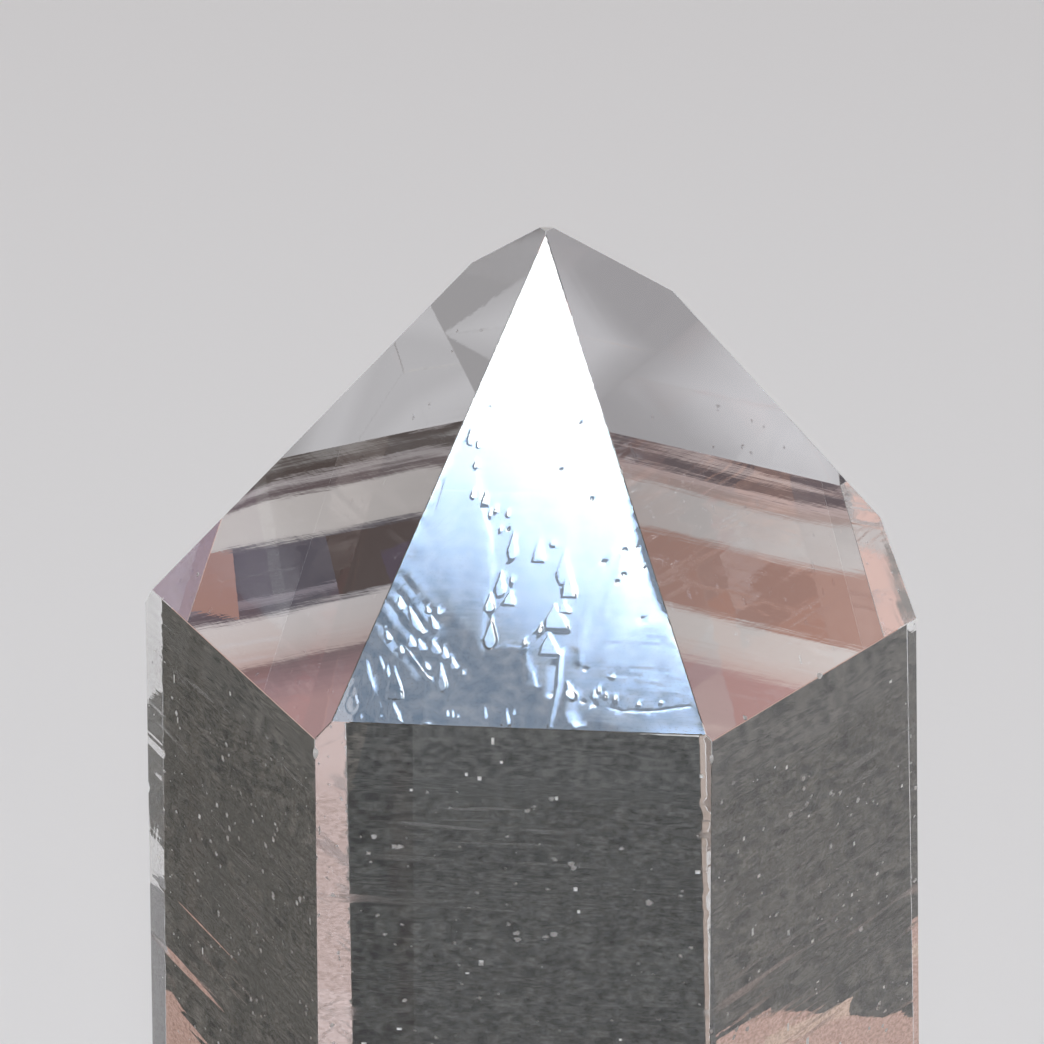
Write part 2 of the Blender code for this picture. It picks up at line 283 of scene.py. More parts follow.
# ---- relief of the front face of the point. All its heights and places are in mm.
# growth hillocks: tip across and up, foot across and up, width, height, round or square foot
HILLOCKS = (
    (-0.46, 4.50, -0.48, 3.20, 0.58, 0.019, True), (-0.56, 5.55, -0.58, 4.66, 0.44, 0.011, True),
    (-0.18, 6.48, -0.22, 5.32, 0.46, 0.008, True), (0.24, 5.70, 0.15, 4.99, 0.50, 0.007, False),
    (0.23, 6.40, 0.22, 5.85, 0.16, 0.005, True), (0.22, 8.15, 0.18, 6.85, 0.42, 0.006, True),
    (1.22, 8.00, 1.25, 6.80, 0.50, 0.0035, False), (1.68, 7.90, 1.80, 7.42, 0.26, 0.003, False),
    (2.28, 7.55, 2.20, 5.90, 0.55, 0.004, True), (2.47, 6.68, 2.50, 5.40, 0.62, 0.008, False),
    (1.95, 5.20, 2.10, 4.08, 1.00, 0.008, False), (2.30, 5.35, 2.38, 4.75, 0.50, 0.005, False),
    (1.80, 3.98, 1.88, 3.04, 0.82, 0.008, False), (1.50, 4.38, 1.44, 3.87, 0.30, 0.014, True),
    (0.86, 3.72, 0.90, 3.37, 0.22, 0.010, True), (2.60, 2.05, 2.86, 1.24, 0.48, 0.010, True),
    (0.95, 3.20, 1.20, 1.68, 0.60, 0.004, False), (3.85, 1.92, 3.86, 1.55, 0.17, 0.009, True),
    (4.12, 1.68, 4.14, 1.33, 0.18, 0.011, True), (4.50, 1.60, 4.51, 1.27, 0.20, 0.009, True),
    (3.68, 1.82, 3.70, 1.30, 0.26, 0.006, True), (4.38, 2.42, 4.36, 2.18, 0.18, 0.006, True),
    (5.42, 1.34, 5.42, 1.10, 0.18, 0.006, True), (6.28, 1.44, 6.28, 1.22, 0.16, 0.006, True),
    (-0.56, 1.10, -0.50, 0.30, 0.20, 0.006, True), (0.30, 0.95, 0.34, 0.05, 0.30, 0.007, True),
    (0.60, 0.95, 0.58, 0.50, 0.20, 0.005, True), (-1.01, 13.45, -0.98, 13.15, 0.12, 0.005, True),
    (-1.70, 12.40, -1.72, 11.50, 0.30, 0.006, True), (-1.40, 11.90, -1.38, 11.40, 0.20, 0.006, True),
    (-1.43, 11.00, -1.44, 10.55, 0.24, 0.007, True), (-1.48, 9.80, -1.50, 9.30, 0.18, 0.007, True),
    (-0.98, 9.75, -1.00, 9.05, 0.30, 0.009, False), (-0.72, 9.05, -0.78, 8.55, 0.16, 0.007, True),
    (-0.52, 9.10, -0.56, 8.75, 0.18, 0.007, True), (-0.05, 9.00, -0.08, 8.60, 0.16, 0.007, True),
    (-0.30, 8.35, -0.34, 7.95, 0.12, 0.007, True),
    # the crowd of them low on the left
    (-4.12, 5.30, -4.06, 4.62, 0.34, 0.008, True), (-3.80, 5.00, -3.25, 3.72, 0.46, 0.008, False),
    (-3.05, 4.98, -2.94, 4.55, 0.22, 0.007, True), (-2.86, 4.55, -2.62, 3.88, 0.30, 0.007, True),
    (-2.62, 4.92, -2.54, 4.50, 0.20, 0.006, True), (-4.66, 4.12, -4.58, 3.86, 0.14, 0.005, True),
    (-4.58, 3.92, -4.42, 3.38, 0.28, 0.007, True), (-4.00, 3.40, -3.90, 2.86, 0.24, 0.008, True),
    (-3.60, 3.66, -3.52, 3.10, 0.40, 0.008, True), (-3.30, 3.62, -3.10, 2.98, 0.36, 0.007, True),
    (-2.78, 3.60, -2.52, 2.86, 0.46, 0.008, True), (-2.28, 3.32, -2.20, 2.66, 0.34, 0.009, True),
    (-1.95, 2.92, -1.82, 2.28, 0.36, 0.008, True), (-1.48, 2.42, -1.46, 2.08, 0.14, 0.007, True),
    (-2.98, 2.66, -2.84, 2.22, 0.26, 0.008, True), (-2.36, 2.60, -2.22, 1.40, 0.44, 0.011, True),
    (-4.76, 2.85, -4.66, 2.00, 0.42, 0.008, True), (-4.46, 2.62, -4.40, 1.84, 0.22, 0.009, True),
    (-2.80, 2.08, -2.72, 1.86, 0.22, 0.006, True), (-4.16, 2.46, -4.05, 1.03, 0.72, 0.010, False),
    (-4.12, 1.00, -4.00, 0.12, 0.55, 0.009, False), (-5.30, 2.90, -5.10, 0.80, 0.60, 0.006, True),
    (-4.85, 1.60, -4.75, 0.30, 0.50, 0.005, True), (-5.70, 1.70, -5.72, 0.40, 0.55, 0.005, True),
    (-2.02, 0.86, -1.98, 0.36, 0.18, 0.008, True), (-1.80, 0.86, -1.76, 0.30, 0.16, 0.008, True),
    (-1.56, 0.54, -1.55, 0.36, 0.12, 0.006, True), (-5.36, 0.52, -5.33, 0.12, 0.22, 0.006, True),
    (-4.58, 0.50, -4.56, 0.20, 0.20, 0.006, True), (-2.80, 0.24, -2.70, 0.02, 0.30, 0.007, True),
)
FOOT_EDGE, LEFT_EDGE, RIGHT_EDGE = 0.045, 0.05, 0.13


def smooth(share):
    """An even ease from 0 to 1."""
    share = np.clip(share, 0, 1)
    return share * share * (3 - 2 * share)


def rough(u, v, across, up, seed):
    """Noise that changes so many times a mm across a face and up it."""
    return np.array([noise.noise(Vector((a * across, b * up, seed))) for a, b in zip(u, v)])


def hillock(u, v, tip_u, tip_v, foot_u, foot_v, width, height, round_foot):
    """A low drop or wedge, pointed up the slope, that rises to a steep foot."""
    length = tip_v - foot_v
    along = np.clip((tip_v - v) / length, 0, 1)
    off = u - tip_u - (foot_u - tip_u) * along
    if round_foot:
        widest = 0.68
        past = (along - widest) / (1 - widest)
        shape = np.where(along < widest, 0.12 + 0.88 * (along / widest) ** 1.1,
                         np.sqrt(np.clip(1 - past ** 2, 0, 1)))
    else:
        shape = 0.1 + 0.9 * smooth(along / 0.75) * 0.6 + 0.36 * along
        shape = np.minimum(shape, 1)
    half = width / 2 * shape
    flanks = smooth((half + off) / LEFT_EDGE) * smooth((half - off + 0.04) / RIGHT_EDGE)
    ends = smooth((v - foot_v) / FOOT_EDGE) * smooth((tip_v - v) / 0.08)
    return height * (0.3 + 0.7 * along) * flanks * ends


def distance_to_line(u, v, points):
    """How far each place is from a line through points, and on which side: right is positive."""
    nearest = np.full_like(u, 1e9)
    side = np.zeros_like(u)
    for (u0, v0), (u1, v1) in zip(points, points[1:]):
        du, dv = u1 - u0, v1 - v0
        share = np.clip(((u - u0) * du + (v - v0) * dv) / (du * du + dv * dv), 0, 1)
        gap = np.hypot(u - u0 - share * du, v - v0 - share * dv)
        turn = np.sign((v - v0) * du - (u - u0) * dv)
        side = np.where(gap < nearest, turn, side)
        nearest = np.minimum(nearest, gap)
    return nearest * side


CROWD_EDGE = ((-3.2, 7.4), (-3.45, 6.2), (-3.2, 5.3), (-2.5, 5.1), (-2.0, 4.0), (-1.45, 3.35),
              (-1.0, 2.5), (-1.3, 1.2), (-1.4, -1.0))
# across the bars that run down to the right through the crowd: place and height
BARS = ((-2.4, 0.0), (-1.6, 0.002), (-1.15, 0.0), (-0.32, 0.0055), (0.14, 0.001), (0.46, 0.0035),
        (0.86, -0.001), (1.06, 0.002), (1.36, -0.0015), (1.56, 0.001), (1.9, -0.0015), (2.1, 0.001),
        (2.5, 0.0))
# ridges and grooves: their line, half width and height
RIDGES = (
    (((4.35, 1.02), (4.82, 0.91), (5.4, 0.9), (6.21, 0.98), (7.42, 1.2)), 0.04, -0.0014),
    (((4.15, 7.33), (3.95, 6.4), (3.52, 5.54), (3.2, 4.68), (3.08, 3.52), (3.05, 2.79)), 0.14, 0.0016),
    (((4.56, 7.28), (4.35, 6.54), (4.04, 5.55), (3.9, 4.7)), 0.16, 0.0014),
    (((3.85, 6.6), (3.4, 5.5), (3.05, 4.6), (2.85, 3.4)), 0.12, 0.0012),
    (((-0.4, 3.25), (0.2, 3.28), (1.0, 3.3)), 0.04, 0.001),
)
# pricks: across, up and radius
PRICKS = ((3.21, 9.48, 0.07), (1.95, 10.66, 0.05), (4.61, 7.40, 0.10), (5.11, 7.57, 0.06),
          (5.46, 6.75, 0.07), (4.62, 6.42, 0.09), (4.37, 6.11, 0.08), (3.81, 6.92, 0.08),
          (5.42, 4.68, 0.06), (3.29, 2.55, 0.08), (3.29, 1.23, 0.07), (0.0, 8.1, 0.05),
          (3.76, 1.12, 0.06), (-2.9, 8.2, 0.05), (2.6, 12.6, 0.05))
PRICK_DEPTH = 0.006


def front_point_relief(u, v):
    """How far the front face of the point stands out, across and up from its foot line."""
    relief = np.zeros_like(u)
    crowd = distance_to_line(u, v, CROWD_EDGE)
    in_crowd = smooth(0.5 - crowd / 0.8)
    # bars and streaks low on the left
    across_bars = 0.766 * (u + 4) + 0.643 * (v - 3) + 0.10 * rough(u, v, 0.9, 0.9, 2.0)
    along_bars = 0.643 * (u + 4) - 0.766 * (v - 3)
    bars = np.interp(across_bars, [place for place, _ in BARS], [height for _, height in BARS])
    fade = smooth((2.3 - along_bars) / 1.2)
    fade *= np.where(across_bars > 0.3, smooth((0.4 - along_bars) / 0.8), 1)
    streaks = 0.0025 * rough(u, v, 4.0, 0.7, 5.0) * smooth((-0.9 - across_bars) / 0.4)
    relief += in_crowd * (bars * fade + streaks + 0.002 * rough(u, v, 1.6, 1.0, 6.0))
    # the light slab left of the middle, which ends in a low step down to the middle
    slab_edge = np.interp(v, (2.5, 5.3, 6.2, 7.8, 9.0, 10.5), (-0.9, -0.75, -0.57, -0.72, -1.1, -1.4))
    slab = np.interp(u - slab_edge, (-2.5, 0, 0.14, 1.4), (0.0, 0.0028, 0.0, 0.001))
    relief += slab * smooth((v - 2.2) / 1.2) * smooth((11.0 - v) / 1.5) * (1 - in_crowd)
    # the steep ridge below the two broad wedges, dark on its left and light on its right
    stem_u = np.interp(v, (0.2, 0.5, 1.5, 2.3, 3.3), (1.98, 2.04, 2.2, 2.25, 2.28))
    stem = smooth((u - stem_u + 0.08) / 0.06) * smooth((stem_u + 0.22 - u) / 0.25)
    relief += 0.007 * stem * smooth((3.35 - v) / 0.3)
    hollow = smooth((stem_u - 0.02 - u) / 0.05) * smooth((u - stem_u + 0.42) / 0.35)
    relief -= 0.006 * hollow * smooth((2.9 - v) / 0.3) * smooth((v - 1.35) / 0.12)
    bulge_u = np.interp(v, (0.0, 0.4, 0.8, 1.5, 2.0), (2.95, 2.55, 2.38, 2.5, 2.55))
    bulge = smooth((u - bulge_u) / 0.10) * smooth((bulge_u + 0.75 - u) / 0.6)
    relief += 0.008 * bulge * smooth((1.7 - v) / 0.3)
    for points, width, height in RIDGES:
        relief += height * smooth(1.3 - np.abs(distance_to_line(u, v, points)) / width)
    # growth lines like a fan on the right
    fan = smooth((u - 3.4) / 1.0) * smooth((4.8 - v) / 0.8) * smooth((v - 1.2) / 0.6)
    lines = np.abs(((v + 0.03 * (u - 5) ** 2) / 0.31 + 0.35 * rough(u, v, 0.5, 1.0, 4.0)) % 1.0 - 0.5)
    relief += 0.0022 * fan * lines
    corner = smooth((u - 4.3) / 1.5) * smooth((v - 4.2 - 0.45 * (u - 5.5)) / 0.6)
    relief -= 0.005 * corner * np.clip(v - 3.8, 0, 3.5)
    for prick_u, prick_v, radius in PRICKS:
        relief -= PRICK_DEPTH * smooth(1.4 - np.hypot(u - prick_u, v - prick_v) / radius)
    relief += 0.006 * rough(u, v, 0.20, 0.12, 3.0) + 0.0008 * rough(u, v, 1.3, 0.35, 9.0)
    relief += 0.00022 * rough(u, v, 9.0, 0.5, 12.0)
    tops = np.zeros_like(u)
    for entry in HILLOCKS:
        tops = np.maximum(tops, hillock(u, v, *entry))
    return relief + tops


def on_face(name, points):
    """Where points lie across and up a growth face, in mm."""
    to_face = faces_of_crystal[name].inverted()
    return np.array([(to_face @ point)[:2] for point in points]).T / MM


def refine(name, relief_of, passes, tolerance):
    """Divides the cells of a face where its relief bends more than they could follow."""
    for _ in range(passes):
        cells = [face for face in side_faces(name) if len(face.verts) == 4]
        corners = np.array([[corner.co for corner in face.verts] for face in cells])
        spots = [corners.mean(axis=1), corners[:, :2].mean(axis=1), corners[:, 1:3].mean(axis=1)]
        heights = [relief_of(*on_face(name, map(Vector, spot))) for spot in spots]
        ends = np.array([
            relief_of(*on_face(name, map(Vector, corners[:, corner]))) for corner in range(4)])
        bend = np.abs(heights[0] - ends.mean(axis=0))
        bend = np.maximum(bend, np.abs(heights[1] - (ends[0] + ends[1]) / 2))
        bend = np.maximum(bend, np.abs(heights[2] - (ends[1] + ends[2]) / 2))
        chosen = [face for face, much in zip(cells, bend) if much > tolerance]
        edges = {edge for face in chosen for edge in face.edges}
        inner = [edge for edge in edges
                 if all(face[SIDE] == side_number[name] for face in edge.link_faces)]
        bmesh.ops.subdivide_edges(quartz, edges=inner, cuts=1, use_grid_fill=True)


def relieve(name, relief_of, calm=0.03 * MM):
    """Moves a face's inner vertices out by its relief in mm; its border stays.

    A vertex closer to the border than calm moves less, so that no cell there is tipped up."""
    number = side_number[name]
    out = faces_of_crystal[name].col[2].to_3d() * MM
    verts = {vert for face in side_faces(name) for vert in face.verts}
    inner = [vert for vert in verts if all(face[SIDE] == number for face in vert.link_faces)]
    border = verts - set(inner)
    for vert, height in zip(inner, relief_of(*on_face(name, [vert.co for vert in inner]))):
        gaps = [edge.calc_length() for edge in vert.link_edges if edge.other_vert(vert) in border]
        vert.co += out * float(height) * min([1.0] + [gap / calm for gap in gaps])


refine("point_front", front_point_relief, 3, 0.0005)
relieve("point_front", front_point_relief)

# ---- relief of the other faces of the point: small hillocks behind, and a slow wave elsewhere
HILLOCKS_BEHIND = 9
for seed, name in ((3, "back_left"), (4, "back_right")):
    drops = []
    for _ in range(HILLOCKS_BEHIND):
        up = rng.uniform(2.0, 10.0)
        across = rng.uniform(-0.3, 0.3) * (14 - up)
        size = rng.uniform(0.4, 0.8)
        foot_across = across + rng.uniform(-0.1, 0.1)
        drops.append((across, up, foot_across, up - 2 * size, size, 0.016 * size, True))

    def back_point_relief(u, v):
        relief = 0.008 * rough(u, v, 0.22, 0.14, seed) + 0.001 * rough(u, v, 1.3, 0.5, seed)
        tops = np.zeros_like(u)
        for entry in drops:
            tops = np.maximum(tops, hillock(u, v, *entry))
        return relief + tops

    refine("point_" + name, back_point_relief, 1, 0.0015)
    relieve("point_" + name, back_point_relief)
for seed, name in enumerate(("front_left", "front_right", "back")):
    relieve("point_" + name, lambda u, v: 0.004 * rough(u, v, 0.15, 0.12, 5.0 * seed + 1), 0.5 * MM)

# ---- growth lines of the prism: how deep they are on each face, in mm, and where they fade
LINE_DEPTH = {"front": 0.0030, "front_right": 0.0020, "back_right": 0.0005,
              "back": 0.00012, "back_left": 0.0005, "front_left": 0.0110}
LEVELS_PER_MM = 500


def prism_relief(name, seed):
    """The relief of one prism face: level lines of chance depths on a slow wave."""
    upright_share = math.cos(math.radians(PRISM_FACES[name][2]))

    def relief_of(u, v):
        below_shoulder = -v * upright_share
        depth_of_line = {}
        relief = np.zeros_like(u)
        cover = rough(u, v, 0.16, 0.8, 3.1 * seed) * 2 + 0.3
        for index, level in enumerate(below_shoulder):
            line = round(level * LEVELS_PER_MM)
            if line not in depth_of_line:
                depth_of_line[line] = random.Random(line * 31 + seed).uniform(-1, 1)
            relief[index] = depth_of_line[line] * LINE_DEPTH[name] * min(1.0, max(0.0, cover[index]))
        if name.startswith("front"):
            relief *= 0.15 + 0.85 * smooth((22 - below_shoulder) / 6)
        if name == "front":
            # a group of deeper lines just under the shoulder
            lined = smooth(3 - 4 * np.abs(below_shoulder - 1.7)) * smooth((u + 1.2) / 0.8)
            relief *= 1 + 1.5 * lined
        relief += 0.004 * rough(u, v, 0.10, 0.05, 7.0 + seed)
        return relief

    return relief_of


for seed, name in enumerate(PRISM_FACES):
    relieve("prism_" + name, prism_relief(name, seed))

# ---- pits: tiny bruises, most of them on the front of the prism
PITS = {"front": 60, "front_right": 54, "back_right": 12, "back": 4, "back_left": 10, "front_left": 36}
for name, wanted in PITS.items():
    strips = [face for face in side_faces("prism_" + name) if len(face.verts) == 4]
    strips = [face for face in strips if min(edge.calc_length() for edge in face.edges) > 0.06 * MM]
    for cuts in (8, 11, 15):
        some = rng.sample(strips, min(len(strips), wanted // 3))
        strips = [face for face in strips if face not in some]
        for strip in some:
            rungs = [edge for edge in strip.edges if edge.calc_length() > 0.8 * MM
                     and abs(edge.verts[0].co.z - edge.verts[1].co.z) < 0.1 * MM]
            if len(rungs) != 2:
                continue
            split = bmesh.ops.subdivide_edges(quartz, edges=rungs, cuts=cuts, use_grid_fill=True)
            across = [edge for edge in split["geom_inner"] if isinstance(edge, bmesh.types.BMEdge)
                      and len(edge.link_faces) == 2]
            pit = rng.choice(across).link_faces[0]
            small = min(edge.calc_length() for edge in pit.edges)
            sunk = bmesh.ops.poke(quartz, faces=[pit], offset=-0.4 * small, center_mode="MEAN")
            for face in sunk["faces"]:
                face[SIDE] = BRUISED

for face in quartz.faces:
    face.smooth = 0 < face[SIDE] < BRUISED
    face.material_index = 1 if face[SIDE] == BRUISED else 0
for edge in quartz.edges:
    sides = {face[SIDE] for face in edge.link_faces}
    edge.smooth = len(sides) == 1 and 0 < min(sides) < BRUISED

crystal = made_object("clear_crystal", quartz)

# ---- clear quartz: polished by nature, with faint level growth marks, specks of fine pitting, and a painted shade that darkens the front of the prism
def new_material(name):
    """A material, its node tree and its main shader."""
    made = bpy.data.materials.new(name)
    made.use_nodes = True
    return made, made.node_tree, made.node_tree.nodes["Principled BSDF"]


def add_node(tree, kind, inputs=(), **settings):
    """Adds a node; each input is given a value or another node's output."""
    node = tree.nodes.new(kind)
    for setting, value in settings.items():
        setattr(node, setting, value)
    for socket, value in dict(inputs).items():
        if isinstance(value, bpy.types.NodeSocket):
            tree.links.new(value, node.inputs[socket])
        else:
            node.inputs[socket].default_value = value
    return node


def scaled_place(tree, scale):
    """The surface's own coordinates, stretched so that grain runs level or stays round."""
    place = add_node(tree, "ShaderNodeTexCoord").outputs["Object"]
    return add_node(tree, "ShaderNodeMapping", {"Vector": place, "Scale": scale}).outputs["Vector"]


def grain_of(tree, scale, detail, roughness=0.5):
    """Grain that changes so many times a metre along each axis."""
    return add_node(tree, "ShaderNodeTexNoise", {
        "Vector": scaled_place(tree, scale), "Scale": 1.0, "Detail": detail, "Roughness": roughness})


def share_of(tree, value, start, end, least=0.0, most=1.0):
    """Runs from least to most while a value runs from start to end."""
    return add_node(tree, "ShaderNodeMapRange", {
        "Value": value, "From Min": start, "From Max": end,
        "To Min": least, "To Max": most}).outputs["Result"]


def combine(tree, operation, one, other):
    """Two values made one by arithmetic."""
    return add_node(tree, "ShaderNodeMath", {0: one, 1: other}, operation=operation).outputs[0]


def ramp_of(tree, share, colors):
    """Runs through colours, each at its own share from 0 to 1."""
    ramp = add_node(tree, "ShaderNodeValToRGB", {"Fac": share})
    for _ in colors[2:]:
        ramp.color_ramp.elements.new(0.5)
    for element, (position, color) in zip(ramp.color_ramp.elements, colors):
        element.position = position
        element.color = (*color, 1)
    return ramp.outputs["Color"]


REFRACTION = 1.544
clear, tree, shader = new_material("clear_quartz")
shader.inputs["IOR"].default_value = REFRACTION
shader.inputs["Transmission Weight"].default_value = 1.0

# where the marks and the painted shade may lie: on the prism, clear of the foot and the shoulder, and
# most in front
place = add_node(tree, "ShaderNodeSeparateXYZ", {"Vector": scaled_place(tree, (1, 1, 1))})
above_foot = share_of(tree, place.outputs["Z"], 0.5 * MM, 2.0 * MM)
below_point = share_of(tree, place.outputs["Z"], 59.0 * MM, 58.0 * MM)
on_prism = combine(tree, "MULTIPLY", above_foot, below_point)
front_only = share_of(tree, place.outputs["Y"], 2.0 * MM, -1.0 * MM)
front_of_prism = combine(tree, "MULTIPLY", front_only, on_prism)

# level growth marks, too low to feel, with a faint sheen where they are strong
streaks = grain_of(tree, (260, 260, 3400), 3.0, 0.6)
growth = add_node(tree, "ShaderNodeBump", {
    "Height": streaks.outputs["Fac"], "Strength": 1.0, "Distance": 0.00000025})
sheen_marks = share_of(tree, streaks.outputs["Fac"], 0.60, 0.85, 0.0, 0.05)

# specks of fine pitting: the hearts of ragged cells, larger in some patches than in others
grain = grain_of(tree, (4200, 4200, 8500), 3.0, 0.7)
ragged = add_node(tree, "ShaderNodeVectorMath", {
    0: grain.outputs["Color"], 1: (0.45, 0.45, 0.45), 2: scaled_place(tree, (1500, 1500, 1900))},
    operation="MULTIPLY_ADD")
specks = add_node(tree, "ShaderNodeTexVoronoi", {
    "Vector": ragged.outputs["Vector"], "Scale": 1.0, "Randomness": 1.0})
patches = grain_of(tree, (420, 420, 600), 2.0)
speck_size = share_of(tree, patches.outputs["Fac"], 0.42, 0.68, 0.0, 0.24)
near_point = share_of(tree, place.outputs["Z"], 34.0 * MM, 40.0 * MM, 0.55, 1.0)
mostly_front = share_of(tree, place.outputs["Y"], 2.0 * MM, -1.0 * MM, 0.15, 1.0)
spread = combine(tree, "MULTIPLY", near_point, mostly_front)
speck_reach = combine(tree, "MULTIPLY", speck_size, spread)
inside_speck = combine(tree, "SUBTRACT", speck_reach, specks.outputs["Distance"])
speck = share_of(tree, inside_speck, 0.0, 0.04, 0.0, 0.75)
speck_below = combine(tree, "MULTIPLY", speck, on_prism)

# bundles of level striae on the front of the prism
bundles = grain_of(tree, (95, 95, 330), 1.0)
striae = grain_of(tree, (170, 170, 3100), 2.0)
bundled = share_of(tree, bundles.outputs["Fac"], 0.50, 0.62)
stria = share_of(tree, striae.outputs["Fac"], 0.55, 0.63, 0.0, 0.22)
stria_marks = combine(tree, "MULTIPLY", bundled, stria)
stria_front = combine(tree, "MULTIPLY", stria_marks, front_of_prism)

# painted shade: a grainy warm-brown darkening of the base colour on the front of the prism, the side
# the camera faces, for the dark seen through it
painted_shade_grain = share_of(tree, grain.outputs["Fac"], 0.36, 0.62, 0.85, 0.0)
painted_shade_front = combine(tree, "MULTIPLY", painted_shade_grain, front_of_prism)
painted_shade_tint = ramp_of(tree, painted_shade_front, [(0, (1, 1, 1)), (1, (0.42, 0.38, 0.33))])

roughness_most = combine(tree, "ADD", sheen_marks, speck_below)
roughness = combine(tree, "ADD", roughness_most, stria_front)
clearness = add_node(tree, "ShaderNodeVolumeAbsorption", {
    "Color": (0.90, 0.93, 0.95, 1), "Density": 0.6})
# the painted shade of the front of the prism goes into the base colour
tree.links.new(painted_shade_tint, shader.inputs["Base Color"])
tree.links.new(roughness, shader.inputs["Roughness"])
tree.links.new(growth.outputs["Normal"], shader.inputs["Normal"])
tree.links.new(clearness.outputs["Volume"], tree.nodes["Material Output"].inputs["Volume"])

# ---- the white of a bruise, in pits and chips
bruise, tree, shader = new_material("bruised_quartz")
shader.inputs["IOR"].default_value = REFRACTION
shader.inputs["Transmission Weight"].default_value = 0.6
crumbs = grain_of(tree, (6000, 6000, 6000), 3.0).outputs["Fac"]
whiteness = ramp_of(tree, crumbs, [(0, (0.62, 0.60, 0.57)), (1, (0.95, 0.94, 0.92))])
frost = share_of(tree, crumbs, 0.0, 1.0, 0.25, 0.6)
grit = add_node(tree, "ShaderNodeBump", {"Height": crumbs, "Strength": 1.0, "Distance": 0.00001})
tree.links.new(whiteness, shader.inputs["Base Color"])
tree.links.new(frost, shader.inputs["Roughness"])
tree.links.new(grit.outputs["Normal"], shader.inputs["Normal"])

crystal.data.materials.append(clear)
crystal.data.materials.append(bruise)
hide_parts("quartz_crystal")
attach(crystal, "root")


# ==== The floor =================================================================================
# A plain pale tabletop, matt, with a faint grain. The crystal stands over it on its sawn foot; the
# gap of a few tenths of a millimetre between them only makes room for the thin cards of the light.
FLOOR_GAP = 0.3 * MM
FLOOR_SIZE = 6.0


def stage_plane(name, place, width, depth):
    """A flat sheet that belongs to the stage, with its front along z of its place."""
    sheet = bmesh.new()
    sheet.loops.layers.uv.verify()
    bmesh.ops.create_grid(
        sheet, x_segments=1, y_segments=1, size=0.5, calc_uvs=True,
        matrix=place @ Matrix.Diagonal((width, depth, 1, 1)))
    plane = made_object(name, sheet)
    return plane


floor = stage_plane("floor", Matrix.Translation((0, 0, -FLOOR_GAP)), FLOOR_SIZE, FLOOR_SIZE)
tabletop, tree, shader = new_material("tabletop")
grain = grain_of(tree, (900, 900, 900), 3.0).outputs["Fac"]
grain_bump = add_node(tree, "ShaderNodeBump", {
    "Height": grain, "Strength": 1.0, "Distance": 0.00002})
matt = share_of(tree, grain, 0.0, 1.0, 0.72, 0.88)
shader.inputs["Base Color"].default_value = (0.82, 0.825, 0.83, 1)
tree.links.new(matt, shader.inputs["Roughness"])
tree.links.new(grain_bump.outputs["Normal"], shader.inputs["Normal"])
floor.data.materials.append(tabletop)

# ==== The light =================================================================================
# Soft studio light: a large softbox over the front face of the point, hot at its top right and
# cool and blue at its lower left, a lamp in front, and glowing walls and coloured cards round the
# crystal that its faces show. Most of the cards are found only by light that comes through it.
AIM_HEIGHT = 0.067
# about the share of a light that a clear face mirrors
MIRROR_SHARE = 0.0385
BRIGHTEST = 1.2
SOFTBOX_BEARING = -6
SOFTBOX_HEIGHT = 60
SOFTBOX_SIZE = 0.20
SOFTBOX_DROP = 0.06


def toward(bearing, height):
    """The way from the crystal to a bearing and a height, both in degrees."""
    turn, rise = math.radians(bearing), math.radians(height)
    return Vector((math.sin(turn) * math.cos(rise), -math.cos(turn) * math.cos(rise), math.sin(rise)))


def facing(bearing, height, distance):
    """A place that looks at the point of the crystal from a direction."""
    out = toward(bearing, height)
    place = out.to_track_quat("Z", "Y").to_matrix().to_4x4()
    place.translation = Vector((0, 0, AIM_HEIGHT)) + out * distance
    return place


def card(name, place, width, depth, colors, tone=None, power=1.0):
    """A glowing card the camera can't see.

    Its tone picks its colours from low to high; without a tone it has the first of them all over.
    Its power is a number, or changes over the card as a tone does."""
    made = stage_plane(name, place, width, depth)
    glow = bpy.data.materials.new(name)
    glow.use_nodes = True
    glow.cycles.emission_sampling = "NONE" if place.translation.z < 0 else "AUTO"
    tree = glow.node_tree
    tree.nodes.clear()
    light = add_node(tree, "ShaderNodeEmission", {
        "Color": ramp_of(tree, tone(tree), colors) if tone else (*colors[0][1], 1),
        "Strength": power(tree) if callable(power) else power})
    add_node(tree, "ShaderNodeOutputMaterial", {"Surface": light.outputs["Emission"]})
    made.data.materials.append(glow)
    made.visible_camera = False
    return made


def slope_of_tone(across, up, start):
    """Tone that changes evenly over a card, from its own UV."""
    def tone(tree):
        place = add_node(tree, "ShaderNodeTexCoord").outputs["UV"]
        along = add_node(tree, "ShaderNodeVectorMath", {
            0: place, 1: (across, up, 0)}, operation="DOT_PRODUCT")
        return combine(tree, "ADD", along.outputs["Value"], start)
    return tone


def hide_but_in_mirrors(made):
    """Only the crystal's outer faces show it."""
    made.visible_diffuse = False
    made.visible_transmission = False
    made.visible_shadow = False


# what the front face of the point shows of the softbox, from dark to bright, as it should look
SKY = ((0.06, (0.11, 0.15, 0.21)), (0.17, (0.21, 0.285, 0.40)), (0.30, (0.32, 0.45, 0.67)),
       (0.50, (0.48, 0.67, 0.90)), (0.66, (0.64, 0.83, 0.97)), (0.93, (0.92, 0.98, 1.0)),
       (1.2, (1.2, 1.2, 1.2)))
